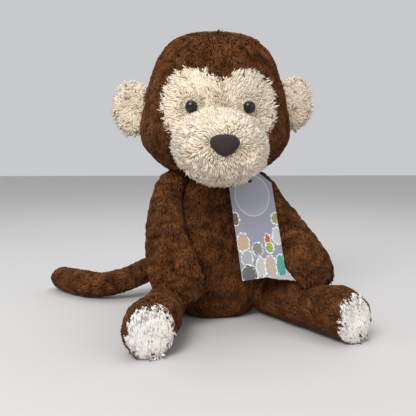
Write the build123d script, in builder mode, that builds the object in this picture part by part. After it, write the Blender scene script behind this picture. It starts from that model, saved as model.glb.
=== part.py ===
from build123d import *
from math import cos, radians, sin, tan
import os

# A seated plush monkey. Millimetres, +Z up. It faces -Y and its own left side is +X.
# The origin is the middle of the flat seat, on the surface that the toy sits on.

# Driving dimensions
pile_fabric = 4.0  # backing cloth with its pressed pile
fill_gap = 0.3  # between a cover and its filling
joint_gap = 0.6  # between two parts that move on each other
head_bottom = 150.0
head_top = 297.5
head_centre_y = -2.0
head_depth_ratio = 0.75
neck_pivot = Vector(0, 0, 141)
neck_ball_radius = 20.0
muzzle_front = -97.0
eye_radius = 6.0
eye_x = 28.0
eye_z = 211.0
eye_seat_y = -57.0
nose_width = 28.5
nose_height = 20.5
nose_z = 172.0
shoulder_ball_radius = 14.0
hip_ball_radius = 17.0
tail_radius = 13.5
tag_width = 43.0
tag_length = 100.0
tag_thickness = 0.7
loop_radius = 0.6
label_thickness = 0.4
shank_radius = 1.9
shank_length = 16.0
washer_radius = 9.0
washer_thickness = 2.0
washer_depth = 5.6
nose_set_in = 5.0
ear_root_x = 83.0
sole_distance = 109.0
sole_width = 39.0
sole_height = 42.0
sole_lift = 3.2
sole_tilt = 0.12
tag_corner = 10.5
tag_hole_drop = 6.0
tag_hole_radius = 2.2
swing_steps = 6
floor_gap = 0.8
sides = ("right", "left")
side_sign = {"right": -1, "left": 1}

# Cross sections from bottom to top: height, half width, half depth
torso_profile = [
    (0, 36, 34),
    (5, 43, 41),
    (18, 50, 47),
    (40, 53, 50),
    (64, 51.5, 48.5),
    (88, 47, 44),
    (108, 42.5, 39.5),
    (122, 37, 35),
    (132, 30, 29),
    (138, 23, 22),
]
head_profile = [
    (head_bottom, 49, 49 * head_depth_ratio),
    (161, 64, 64 * head_depth_ratio),
    (169, 71.5, 71.5 * head_depth_ratio),
    (177, 77.5, 77.5 * head_depth_ratio),
    (187, 80.7, 80.7 * head_depth_ratio),
    (201, 79.8, 79.8 * head_depth_ratio),
    (217, 77.4, 77.4 * head_depth_ratio),
    (233, 73.7, 73.7 * head_depth_ratio),
    (249, 69.7, 69.7 * head_depth_ratio),
    (265, 64, 64 * head_depth_ratio),
    (279, 57, 57 * head_depth_ratio),
    (288.5, 47.5, 47.5 * head_depth_ratio),
    (294.5, 32, 32 * head_depth_ratio),
    (head_top, 13, 13 * head_depth_ratio),
]
# Along the muzzle, from inside the head to its front: y, middle height, half width, half height
muzzle_profile = [
    (-40, 182, 36, 22),
    (-50, 177, 41, 28),
    (-62, 172, 43.5, 33),
    (-76, 169, 41, 33),
    (-87, 168.5, 33, 26),
    (-94, 169, 21, 17),
    (muzzle_front, 170, 8, 7),
]
# Along an arm, from shoulder to finger tips: distance, width, thickness
arm_profile = [
    (0, 25, 25),
    (20, 28, 27),
    (45, 34, 29),
    (68, 42, 31),
    (90, 46, 31),
    (105, 41, 27),
    (114, 29, 19),
    (119, 13, 9),
]
# Along a leg, from hip to sole: distance, width, height
leg_profile = [
    (0, 32, 32),
    (14, 35, 34.5),
    (35, 38, 37),
    (62, 40, 38),
    (84, 43, 42),
    (102, 45, 46),
    (122, 42, 44),
]
# Along the tail's middle line, from its root behind the seat to its tip on the surface
tail_line = [
    (-12, 52, 36.5),
    (-27, 64.5, 37.5),
    (-46, 67, 37),
    (-65, 59, 34),
    (-83, 48, 28),
    (-103, 41, 20.5),
    (-126, 41, 14.8),
    (-150, 52, 14),
    (-170, 69, 14),
    (-182, 80, 14),
]

# Resting places of the four limbs: root, direction and the way that their width lies
arm_root = {"right": Vector(-54, -8, 126), "left": Vector(52, -8, 126)}
arm_way = {"right": Vector(14, -54, -103), "left": Vector(39, -62, -84)}
arm_across = {"right": Vector(0.9, -0.43, 0), "left": Vector(0.95, 0.3, 0)}
hip_root = {"right": Vector(-47, -16, 18.5), "left": Vector(47, -16, 18.5)}
leg_turn = {"right": -9.0, "left": 36.0}
leg_swing = {"right": (-30, 0), "left": (-15, 25)}
sole_turn = {"right": 18.0, "left": -20.0}
ear_centre = {"right": Vector(-90, 8, 216.5), "left": Vector(88, 8, 224)}

# Half of the face opening, from the cleft over one lobe to its lower corner: x, height
heart_lobe = [(0, 237), (12, 245), (27, 249), (43, 242.5), (52.5, 227), (54.5, 211), (52.5, 197), (46, 187)]
# Half of the nose, from its top to its lower point, in halves of its width and height
nose_outline = [(0, 0.98), (0.5, 0.93), (0.9, 0.62), (0.94, 0.15), (0.62, -0.48), (0.22, -0.93), (0, -1)]
# Through the nose, from inside the muzzle to its front: distance, share of its outline
nose_swell = [(0, 1), (5.5, 1), (7.4, 0.94), (8.5, 0.8), (9, 0.6)]
# Through an ear, from back to front: y from its middle, half width, half height
ear_profile = [(8, 11, 17), (5, 18, 25), (0, 22, 29), (-5, 18, 25), (-8, 11, 17)]
# Pellet bag: height, half width, half depth
bean_profile = [(9, 26, 24), (13, 33, 31), (21, 36, 33), (29, 32, 29), (33, 22, 20)]
# Black loop, from the neck seam to the card's hole and back
loop_route = [
    (18, -25, 135.5),
    (22, -34, 140),
    (27, -43.5, 146),
    (29.4, -50, 147),
    (29.9, -52.8, 142.1),
    (29.9, -48.2, 138.6),
    (27.5, -39, 138.3),
    (24, -30, 136.4),
    (21, -22.5, 134),
]

tag_top = Vector(29.3, -47, 145.5)
tag_bottom = Vector(40.6, -69, 48.5)
tag_across = Vector(0.985, 0.1, 0.092)

os.makedirs("parts", exist_ok=True)


def save(body, label):
    """Label a finished piece and write it to its own file."""
    body.part.label = label
    export_step(body.part, f"parts/{label}.step")
    print(f"{label}: {body.part.volume / 1000:.2f} cm3")


def drawn_in(profile, wall):
    """The same cross sections, smaller by one wall thickness all round."""
    start = profile[0][0]
    length = profile[-1][0] - start
    keep = (length - 2 * wall) / length
    inner = []
    for place, *sizes in profile:
        sizes = [max(size - wall, 2.0) for size in sizes]
        inner.append((start + wall + (place - start) * keep, *sizes))
    return inner


def upright_body(profile, middle_y=0.0):
    """A body of level elliptical sections."""
    with BuildPart() as body:
        for height, half_width, half_depth in profile:
            with BuildSketch(Plane(origin=(0, middle_y, height))):
                Ellipse(half_width, half_depth)
        loft()
    return body.part


def muzzle_body(profile):
    """A body of upright elliptical sections that stand across the Y axis."""
    with BuildPart() as body:
        for place_y, middle_z, half_width, half_height in profile:
            with BuildSketch(Plane(origin=(0, place_y, middle_z), x_dir=(1, 0, 0), z_dir=(0, -1, 0))):
                Ellipse(half_width, half_height)
        loft()
    return body.part


def limb_body(profile, root, way, across, wall=0.0, ball=0.0, on_floor=False):
    """A limb through elliptical sections along a straight middle line, with a ball at its root."""
    way = way.normalized()
    with BuildPart() as body:
        for place, width, thickness in profile:
            lift = 0.0
            if on_floor:
                lift = thickness / 2 + floor_gap - root.Z
            middle = root + way * place + Vector(0, 0, lift)
            with BuildSketch(Plane(origin=middle, x_dir=across, z_dir=way)):
                Ellipse(width / 2 - wall, thickness / 2 - wall)
        loft()
        if ball:
            with Locations(root):
                Sphere(ball - wall)
    return body.part


def leg_way(side, extra=0.0):
    """Level direction of a leg, from hip to sole."""
    turn = radians(leg_turn[side] + extra)
    return Vector(sin(turn), -cos(turn), 0)


def tail_body(wall=0.0):
    """The tail: a round tube along its curved middle line, with round ends."""
    with BuildPart() as body:
        with BuildLine() as middle:
            Spline(tail_line)
        with BuildSketch(Plane(origin=tail_line[0], z_dir=middle.line % 0)):
            Circle(tail_radius - wall)
        sweep()
        with Locations(tail_line[0], tail_line[-1]):
            Sphere(tail_radius - wall)
    return body.part


def eye_plane(side):
    """Plane on the face under an eye, with its normal out along the eye's shank."""
    sign = side_sign[side]
    return Plane(origin=(sign * eye_x, eye_seat_y, eye_z), x_dir=(1, sign * 0.3, 0), z_dir=(sign * 0.3, -0.95, 0.07))


def muzzle_drawn_in(wall):
    """The muzzle's sections, smaller by one wall thickness all round and at the front."""
    inner = [(y, z, half_width - wall, half_height - wall) for y, z, half_width, half_height in muzzle_profile[:-2]]
    return inner + [(muzzle_front + wall + 0.8, 169.5, 18 - wall, 14.5 - wall)]


def socket_cutter(extra):
    """Everything that the covers leave room for: neck, shoulders, hips and tail root."""
    with BuildPart() as cutter:
        with Locations(neck_pivot):
            Sphere(neck_ball_radius + extra)
        for side in sides:
            with Locations(arm_root[side]):
                Sphere(shoulder_ball_radius + extra)
            with Locations(hip_root[side]):
                Sphere(hip_ball_radius + extra)
        with Locations(Vector(*tail_line[0])):
            Sphere(tail_radius + extra)
    return cutter.part


def swing_room(side, extra):
    """All the places that a leg swings through, with room to spare round it."""
    low, high = leg_swing[side]
    with BuildPart() as room:
        for step in range(swing_steps + 1):
            way = leg_way(side, low + (high - low) * step / swing_steps)
            across = Vector(0, 0, 1).cross(way)
            add(limb_body(leg_profile, hip_root[side], way, across, wall=-extra, on_floor=True))
        with Locations(hip_root[side]):
            Sphere(hip_ball_radius + extra)
    return room.part


def cover_of(shape, inside, cutters):
    """A cover: the outer shape without its inside and without what it leaves room for."""
    with BuildPart() as cover:
        add(shape)
        add(inside, mode=Mode.SUBTRACT)
        for cutter in cutters:
            add(cutter, mode=Mode.SUBTRACT)
    return cover.part


# Whole shapes that the covers and their fillings are cut from
filled = pile_fabric + fill_gap
torso_shape = upright_body(torso_profile)
torso_inside = upright_body(drawn_in(torso_profile, pile_fabric))
torso_core = upright_body(drawn_in(torso_profile, filled))
head_shape = upright_body(head_profile, head_centre_y)
head_inside = upright_body(drawn_in(head_profile, pile_fabric), head_centre_y)
head_core = upright_body(drawn_in(head_profile, filled), head_centre_y)
muzzle_shape = muzzle_body(muzzle_profile)
muzzle_inside = muzzle_body(muzzle_drawn_in(pile_fabric))
muzzle_core = muzzle_body(muzzle_drawn_in(filled))
sockets = socket_cutter(joint_gap)
filling_sockets = socket_cutter(joint_gap + filled)
leg_room = {side: swing_room(side, joint_gap) for side in sides}
filling_leg_room = {side: swing_room(side, joint_gap + filled) for side in sides}
torso_room = cover_of(upright_body(drawn_in(torso_profile, -joint_gap)), sockets, [])
filling_torso_room = cover_of(upright_body(drawn_in(torso_profile, -joint_gap - filled)), sockets, [])

# Torso: a front and a back panel over loose fibre, with a bag of pellets in the seat
torso_cover = cover_of(torso_shape, torso_inside, [sockets, *leg_room.values()])
for label, kept in (("torso_front_panel", Keep.TOP), ("torso_back_panel", Keep.BOTTOM)):
    with BuildPart() as torso_panel:
        add(torso_cover)
        split(bisect_by=Plane.XZ, keep=kept)
    save(torso_panel, label)

bean_shape = upright_body(bean_profile)
bean_room = upright_body(drawn_in(bean_profile, -fill_gap))
filling_cutters = [filling_sockets, *filling_leg_room.values()]
with BuildPart() as torso_stuffing:
    add(torso_core)
    for cutter in (*filling_cutters, bean_room):
        add(cutter, mode=Mode.SUBTRACT)
save(torso_stuffing, "torso_stuffing")

with BuildPart() as bean_bag:
    add(bean_shape)
    for cutter in filling_cutters:
        add(cutter, mode=Mode.SUBTRACT)
save(bean_bag, "bean_bag")

# Blank sewn-in label, hanging from the back seam
with BuildPart() as sewn_label:
    with BuildSketch(Plane(origin=(22, 50.5, 34), x_dir=(0.9, -0.43, 0), z_dir=(0.43, 0.9, -0.1))):
        RectangleRounded(22, 34, 1.5)
    extrude(amount=label_thickness)
save(sewn_label, "sewn_label")

# Neck: a firm wad of fibre that the head turns and tips on
with BuildPart() as neck_stuffing:
    with Locations(neck_pivot):
        Sphere(neck_ball_radius)
save(neck_stuffing, "neck_stuffing")

# Head: two hood panels that meet on the middle seam, round a heart-shaped opening for the face
with BuildPart() as face_window:
    with BuildSketch(Plane.XZ):
        with BuildLine():
            lobe = Spline(heart_lobe)
            Line(lobe @ 1, (0, heart_lobe[-1][1] - 7))
            mirror(about=Plane.YZ)
        make_face()
    extrude(amount=-muzzle_front)

hood = cover_of(head_shape, head_inside, [face_window.part, muzzle_shape, sockets])
for side, kept in (("left", Keep.TOP), ("right", Keep.BOTTOM)):
    with BuildPart() as hood_panel:
        add(hood)
        split(bisect_by=Plane.YZ, keep=kept)
    save(hood_panel, f"head_{side}_panel")

with BuildPart() as eye_seats:
    for side in sides:
        with Locations(eye_plane(side)):
            Cylinder(eye_radius + 0.1, 5, align=(Align.CENTER, Align.CENTER, Align.MIN))
            Cylinder(shank_radius + 0.1, shank_length + 1, align=(Align.CENTER, Align.CENTER, Align.MAX))
with BuildPart() as washer_seats:
    for side in sides:
        with Locations(eye_plane(side).offset(-washer_depth + fill_gap)):
            Cylinder(
                washer_radius + fill_gap, washer_thickness + 2 * fill_gap, align=(Align.CENTER, Align.CENTER, Align.MAX)
            )

with BuildPart() as face_panel:
    add(head_shape)
    add(head_inside, mode=Mode.SUBTRACT)
    add(face_window.part, mode=Mode.INTERSECT)
    add(muzzle_shape, mode=Mode.SUBTRACT)
    add(eye_seats.part, mode=Mode.SUBTRACT)
save(face_panel, "face_panel")

# Nose: a padded satin shape with an arched top and a blunt lower point
with BuildPart() as nose:
    for depth, share in nose_swell:
        middle = Vector(0, muzzle_front + nose_set_in - depth, nose_z)
        with BuildSketch(Plane(origin=middle, x_dir=(1, 0, 0), z_dir=(0, -1, 0))):
            with BuildLine():
                half = [(x * share * nose_width / 2, z * share * nose_height / 2) for x, z in nose_outline]
                Spline(half, tangents=[(1, 0), (-1, 0)])
                mirror(about=Plane.YZ)
            make_face()
    loft()
save(nose, "nose")

with BuildPart() as muzzle_panel:
    add(muzzle_shape)
    add(muzzle_inside, mode=Mode.SUBTRACT)
    add(head_inside, mode=Mode.SUBTRACT)
    add(sockets, mode=Mode.SUBTRACT)
    add(nose.part, mode=Mode.SUBTRACT)
save(muzzle_panel, "muzzle_panel")

with BuildPart() as head_stuffing:
    add(head_core)
    add(muzzle_core)
    add(filling_sockets, mode=Mode.SUBTRACT)
    add(eye_seats.part, mode=Mode.SUBTRACT)
    add(washer_seats.part, mode=Mode.SUBTRACT)
save(head_stuffing, "head_stuffing")

# Eyes: domes on shanks, each held by a washer behind the face panel
for side in sides:
    with BuildPart() as eye:
        with Locations(eye_plane(side)):
            Sphere(eye_radius, arc_size1=0, align=(Align.CENTER, Align.CENTER, Align.MIN))
            Cylinder(shank_radius, shank_length, align=(Align.CENTER, Align.CENTER, Align.MAX))
    save(eye, f"{side}_eye")

    with BuildPart() as eye_washer:
        with BuildSketch(eye_plane(side).offset(-washer_depth - washer_thickness)):
            Circle(washer_radius)
            Circle(shank_radius + 0.05, mode=Mode.SUBTRACT)
        extrude(amount=washer_thickness)
    save(eye_washer, f"{side}_eye_washer")

# Ears: two layers each, sewn to the sides of the hood
for side in sides:
    with BuildPart() as ear_shape:
        for place_y, half_width, half_height in ear_profile:
            middle = ear_centre[side] + Vector(0, place_y, 0)
            with BuildSketch(Plane(origin=middle, x_dir=(1, 0, 0), z_dir=(0, -1, 0))):
                Ellipse(half_width, half_height)
        loft()
        root_plane = Plane(origin=(side_sign[side] * ear_root_x, 0, 0), z_dir=(side_sign[side], 0, 0))
        split(bisect_by=root_plane, keep=Keep.TOP)
    middle_plane = Plane(origin=ear_centre[side], x_dir=(1, 0, 0), z_dir=(0, -1, 0))
    for layer, kept in (("front", Keep.TOP), ("back", Keep.BOTTOM)):
        with BuildPart() as ear_layer:
            add(ear_shape.part)
            split(bisect_by=middle_plane, keep=kept)
        save(ear_layer, f"{side}_ear_{layer}")

# Arms: a front and a back panel each, over fibre, pressed flat where they rest on the belly and the legs
for side in sides:
    way = arm_way[side].normalized()
    across = arm_across[side] - way * arm_across[side].dot(way)
    arm_shape = limb_body(arm_profile, arm_root[side], way, across, ball=shoulder_ball_radius)
    arm_inside, arm_core = [
        limb_body(arm_profile[:-1], arm_root[side], way, across, wall=wall, ball=shoulder_ball_radius)
        for wall in (pile_fabric, filled)
    ]
    with BuildPart() as arm_hollow:
        add(arm_inside)
        add(filling_leg_room[side], mode=Mode.SUBTRACT)
        add(filling_torso_room, mode=Mode.SUBTRACT)
    arm_cover = cover_of(arm_shape, arm_hollow.part, [leg_room[side], torso_room])
    seam_plane = Plane(origin=arm_root[side], x_dir=way, z_dir=way.cross(across))
    for layer, kept in (("front", Keep.TOP), ("back", Keep.BOTTOM)):
        with BuildPart() as arm_panel:
            add(arm_cover)
            split(bisect_by=seam_plane, keep=kept)
        save(arm_panel, f"{side}_arm_{layer}_panel")
    with BuildPart() as arm_stuffing:
        add(arm_core)
        add(filling_leg_room[side], mode=Mode.SUBTRACT)
        add(filling_torso_room, mode=Mode.SUBTRACT)
    save(arm_stuffing, f"{side}_arm_stuffing")

# Legs: an inner and an outer panel each, over fibre, closed by a sole of another cloth
for side in sides:
    way = leg_way(side)
    across = Vector(0, 0, 1).cross(way)
    turn = radians(leg_turn[side] + sole_turn[side])
    sole_way = Vector(sin(turn), -cos(turn), sole_tilt).normalized()
    sole_middle = hip_root[side] + way * sole_distance + Vector(0, 0, sole_lift)
    sole_plane = Plane(origin=sole_middle, x_dir=Vector(0, 0, 1).cross(sole_way), z_dir=sole_way)
    shapes = [
        limb_body(leg_profile, hip_root[side], way, across, wall=wall, ball=hip_ball_radius, on_floor=True)
        for wall in (0, pile_fabric, filled)
    ]
    leg_cover = cover_of(shapes[0], shapes[1], [])
    for layer, kept in (("left", Keep.TOP), ("right", Keep.BOTTOM)):
        with BuildPart() as leg_panel:
            add(leg_cover)
            split(bisect_by=sole_plane, keep=Keep.BOTTOM)
            split(bisect_by=Plane(origin=hip_root[side], x_dir=way, z_dir=across), keep=kept)
        name = "outer" if (layer == side) else "inner"
        save(leg_panel, f"{side}_leg_{name}_panel")
    with BuildPart() as leg_stuffing:
        add(shapes[2])
        split(bisect_by=sole_plane.offset(-fill_gap), keep=Keep.BOTTOM)
    save(leg_stuffing, f"{side}_leg_stuffing")
    with BuildPart() as sole:
        for rise, share in ((0, 1.0), (3, 0.96), (5.5, 0.75), (6.5, 0.45)):
            with BuildSketch(sole_plane.offset(rise)):
                Ellipse(sole_width / 2 * share, sole_height / 2 * share)
        loft()
    save(sole, f"{side}_sole")

# Tail: one rolled panel over fibre
with BuildPart() as tail_cover:
    add(tail_body())
    add(tail_body(pile_fabric), mode=Mode.SUBTRACT)
save(tail_cover, "tail_cover")
with BuildPart() as tail_stuffing:
    add(tail_body(filled))
save(tail_stuffing, "tail_stuffing")

# Swing tag: a card with cut top corners and a punched hole
tag_up = (tag_top - tag_bottom).normalized()
tag_plane = Plane(origin=tag_top, x_dir=tag_across, z_dir=tag_across.cross(tag_up))
with BuildPart() as swing_tag:
    with BuildSketch(tag_plane) as card:
        with Locations((0, -tag_length / 2)):
            Rectangle(tag_width, tag_length)
        chamfer(card.vertices().group_by(Axis.Y)[-1], length=tag_corner)
        with Locations((0, -tag_hole_drop)):
            Circle(tag_hole_radius, mode=Mode.SUBTRACT)
    extrude(amount=tag_thickness / 2, both=True)
save(swing_tag, "swing_tag")

# Black loop: from the neck seam over the card's top edge, through its hole and back
corners = loop_route[1:-1]
loop_corner_radii = []
for before, corner, after in zip(loop_route, corners, loop_route[2:]):
    first = Vector(*corner) - Vector(*before)
    second = Vector(*after) - Vector(*corner)
    half_turn = radians(first.get_angle(second)) / 2
    loop_corner_radii.append(0.45 * min(first.length, second.length) / tan(half_turn))
print("loop radii", [round(radius, 2) for radius in loop_corner_radii])
with BuildPart() as tag_loop:
    with BuildLine() as loop_line:
        FilletPolyline(*loop_route, radius=loop_corner_radii)
    with BuildSketch(Plane(origin=loop_route[0], z_dir=loop_line.line % 0)):
        Circle(loop_radius)
    sweep()
save(tag_loop, "tag_loop")
loop_length = loop_line.wires()[0].length
print(f"loop length {loop_length:.2f} mm")
print(f"section x length {3.14159265 * loop_radius**2 * loop_length:.3f} mm3, volume {tag_loop.part.volume:.3f} mm3")
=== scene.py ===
"""The looks of a seated plush monkey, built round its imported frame.

Blender works in metres. The toy faces -Y, its own left is +X, and it sits on the plane z = 0.
Sizes in this file are in millimetres and are scaled by MM where a mesh is made.
"""

import logging
import math
from dataclasses import dataclass, field
from enum import Enum
from typing import Callable, Iterable, Sequence

import bmesh
import bpy
import numpy as np
from mathutils import Matrix, Vector, noise


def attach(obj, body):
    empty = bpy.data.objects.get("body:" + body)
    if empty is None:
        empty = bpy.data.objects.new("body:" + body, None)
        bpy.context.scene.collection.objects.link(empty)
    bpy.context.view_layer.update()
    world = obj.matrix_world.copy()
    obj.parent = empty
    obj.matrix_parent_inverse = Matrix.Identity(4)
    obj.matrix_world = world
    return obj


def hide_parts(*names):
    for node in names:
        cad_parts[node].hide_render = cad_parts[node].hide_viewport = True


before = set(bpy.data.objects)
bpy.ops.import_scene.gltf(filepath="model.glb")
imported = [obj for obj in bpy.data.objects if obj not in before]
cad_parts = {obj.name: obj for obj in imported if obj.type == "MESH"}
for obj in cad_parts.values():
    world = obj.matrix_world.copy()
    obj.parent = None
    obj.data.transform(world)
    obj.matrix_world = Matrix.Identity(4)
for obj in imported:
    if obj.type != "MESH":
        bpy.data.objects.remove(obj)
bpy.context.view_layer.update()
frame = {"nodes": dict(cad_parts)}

logging.basicConfig(level=logging.INFO, format="%(name)s: %(message)s")
log = logging.getLogger("monkey")

MM = 0.001
SKIN_INSET = 1.6  # the cloth backing lies this far inside the middle of its pile
WALL = 0.0014  # the cloth backing's thickness in metres
FLOOR_CLEARANCE = 0.0003  # no lock goes lower than this, in metres

ACROSS = Vector((1, 0, 0))
FORWARD = Vector((0, -1, 0))
UP = Vector((0, 0, 1))

Flow = Callable[[np.ndarray], np.ndarray]
Colour = tuple[float, float, float]


class Side(Enum):
    """The toy's own right and left, with the sign that their X has."""

    RIGHT = -1
    LEFT = 1

    @property
    def word(self) -> str:
        """The side's name as the nodes have it."""
        return self.name.lower()


# ---------------------------------------------------------------- node helper


class NodeBench:
    """Adds nodes to one node tree and joins them."""

    def __init__(self, tree: bpy.types.NodeTree) -> None:
        """Keep the tree.

        Args:
            tree: The node tree that the nodes are added to.
        """
        self.tree = tree

    def put(self, socket: bpy.types.NodeSocket, value: object) -> None:
        """Join an output to a socket, or set the socket's own value."""
        if isinstance(value, bpy.types.NodeSocket):
            self.tree.links.new(value, socket)
        else:
            socket.default_value = value

    def add(self, kind: str, inputs: dict | None = None, **settings: object) -> bpy.types.Node:
        """Add a node.

        Args:
            kind: The node's type name.
            inputs: Values or outputs for its sockets, by socket name or number.
            **settings: The node's own properties.

        Returns:
            The new node.
        """
        node = self.tree.nodes.new(kind)
        for key, value in settings.items():
            setattr(node, key, value)
        for key, value in (inputs or {}).items():
            self.put(node.inputs[key], value)
        return node

    def sum(self, operation: str, *values: object, clamp: bool = False) -> bpy.types.NodeSocket:
        """A Math node's output for one operation on one, two or three values."""
        inputs = dict(enumerate(values))
        return self.add("ShaderNodeMath", inputs, operation=operation, use_clamp=clamp).outputs[0]

    def vector(self, operation: str, *values: object) -> bpy.types.NodeSocket:
        """A Vector Math node's output; a length or dot product gives its number."""
        node = self.add("ShaderNodeVectorMath", dict(enumerate(values)), operation=operation)
        return node.outputs["Value" if operation in ("LENGTH", "DOT_PRODUCT", "DISTANCE") else "Vector"]

    def scaled(self, vector: object, factor: object) -> bpy.types.NodeSocket:
        """A vector times a number."""
        inputs = {0: vector, "Scale": factor}
        return self.add("ShaderNodeVectorMath", inputs, operation="SCALE").outputs["Vector"]

    def mix(self, share: object, first: object, second: object, blend: str = "MIX") -> bpy.types.NodeSocket:
        """A colour mix's output."""
        node = self.add("ShaderNodeMix", data_type="RGBA", blend_type=blend)
        for number, value in ((0, share), (6, first), (7, second)):
            plain = isinstance(value, tuple) and len(value) == 3
            self.put(node.inputs[number], (*value, 1.0) if plain else value)
        return node.outputs[2]

    def clouds(
        self, place: object, scale: float, detail: float = 2.0, output: str = "Fac"
    ) -> bpy.types.NodeSocket:
        """A noise texture's output.

        Args:
            place: The point that the noise is read at.
            scale: How many bumps there are to a unit of length.
            detail: How many finer layers are added.
            output: "Fac" for a number or "Color" for three.

        Returns:
            The noise output.
        """
        inputs = {"Vector": place, "Scale": scale, "Detail": detail}
        return self.add("ShaderNodeTexNoise", inputs).outputs[output]

    def ramp(self, share: object, stops: Sequence[tuple[float, Colour]]) -> bpy.types.NodeSocket:
        """A colour ramp's output.

        Args:
            share: The number that picks the place on the ramp.
            stops: Places with their colours: the two ends first, then any between them.

        Returns:
            The ramp's colour output.
        """
        node = self.add("ShaderNodeValToRGB", {0: share})
        for number, (place, colour) in enumerate(stops):
            stop = node.color_ramp.elements[number] if number < 2 else node.color_ramp.elements.new(place)
            stop.position = place
            stop.color = (*colour, 1.0)
        return node.outputs[0]


# ---------------------------------------------------------------- finishes


def new_material(name: str) -> tuple[bpy.types.Material, NodeBench, bpy.types.Node]:
    """A material with its node bench and its shader.

    Args:
        name: The material's name.

    Returns:
        The material, a bench on its node tree and its Principled shader.
    """
    material = bpy.data.materials.new(name)
    material.use_nodes = True
    bench = NodeBench(material.node_tree)
    shader = material.node_tree.nodes["Principled BSDF"]
    return material, bench, shader


@dataclass(frozen=True)
class PileFinish:
    """A pile cloth: dark at the roots as painted shade, light at the tips, with lighter and darker locks."""

    name: str
    # the root colour is darkened as painted shade deep in the pile
    root: Colour
    middle: Colour
    tip: Colour
    shadow: Colour
    light: Colour
    sheen: float = 0.1
    gloss: float = 0.25
    sheen_tint: Colour = (1.0, 1.0, 1.0)

    def material(self) -> bpy.types.Material:
        """The pile's material, from its attributes for the place along a lock and the lock's shade."""
        material, bench, shader = new_material(self.name)
        along = bench.add("ShaderNodeAttribute", attribute_name="along").outputs["Fac"]
        shade = bench.add("ShaderNodeAttribute", attribute_name="shade").outputs["Fac"]
        # darker towards the roots: painted shade in the depth of the pile
        length_colour_with_root_shade = bench.ramp(along, [(0.0, self.root), (1.0, self.tip), (0.45, self.middle)])
        lock_colour = bench.ramp(shade, [(0.0, self.shadow), (1.0, self.light), (0.5, (1.0, 1.0, 1.0))])
        bench.put(shader.inputs["Base Color"], bench.mix(1.0, length_colour_with_root_shade, lock_colour, "MULTIPLY"))
        bench.put(shader.inputs["Roughness"], bench.sum("MULTIPLY_ADD", shade, -0.15, 0.85))
        shader.inputs["Sheen Weight"].default_value = self.sheen
        shader.inputs["Sheen Roughness"].default_value = 0.45
        shader.inputs["Sheen Tint"].default_value = (*self.sheen_tint, 1.0)
        shader.inputs["Specular IOR Level"].default_value = self.gloss
        return material


@dataclass(frozen=True)
class ClothFinish:
    """A close cloth: a fine grain or weave with a little colour variation and sheen."""

    name: str
    colour: Colour
    second: Colour
    grain: float
    bump: float
    roughness: float = 0.8
    sheen: float = 0.3
    woven: bool = False

    def material(self) -> bpy.types.Material:
        """The cloth's material, on Object coordinates."""
        material, bench, shader = new_material(self.name)
        place = bench.add("ShaderNodeTexCoord").outputs["Object"]
        if self.woven:
            warp, weft = [
                bench.add(
                    "ShaderNodeTexWave",
                    {"Vector": place, "Scale": self.grain, "Distortion": 0.6, "Detail": 1.0},
                    bands_direction=direction,
                ).outputs["Fac"]
                for direction in ("X", "Z")
            ]
            height = bench.sum("MAXIMUM", warp, weft)
        else:
            height = bench.add(
                "ShaderNodeTexNoise", {"Vector": place, "Scale": self.grain, "Detail": 4.0, "Roughness": 0.65}
            ).outputs["Fac"]
        patches = bench.clouds(place, self.grain / 9, 2.0)
        share = bench.sum("ADD", bench.sum("MULTIPLY", height, 0.6), bench.sum("MULTIPLY", patches, 0.4))
        bench.put(shader.inputs["Base Color"], bench.ramp(share, [(0.25, self.second), (0.75, self.colour)]))
        bench.put(shader.inputs["Roughness"], bench.sum("MULTIPLY_ADD", height, -0.15, self.roughness + 0.1))
        bump = bench.add("ShaderNodeBump", {"Strength": self.bump, "Distance": 0.0004, "Height": height})
        bench.put(shader.inputs["Normal"], bump.outputs["Normal"])
        shader.inputs["Sheen Weight"].default_value = self.sheen
        shader.inputs["Sheen Roughness"].default_value = 0.4
        return material


@dataclass(frozen=True)
class PlasticFinish:
    """Moulded plastic: one colour with faint clouding and fine wear in its gloss."""

    name: str
    colour: Colour
    second: Colour
    roughness: float

    def material(self) -> bpy.types.Material:
        """The plastic's material, on Object coordinates."""
        material, bench, shader = new_material(self.name)
        place = bench.add("ShaderNodeTexCoord").outputs["Object"]
        clouds = bench.clouds(place, 400.0, 3.0)
        bench.put(shader.inputs["Base Color"], bench.ramp(clouds, [(0.3, self.second), (0.7, self.colour)]))
        bench.put(shader.inputs["Roughness"], bench.sum("MULTIPLY_ADD", clouds, 0.06, self.roughness))
        return material


@dataclass(frozen=True)
class Patch:
    """One plain printed spot: its place from the card's top middle, its half sizes and colours."""

    right: float
    down: float
    half_width: float
    half_height: float
    colour: Colour


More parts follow.
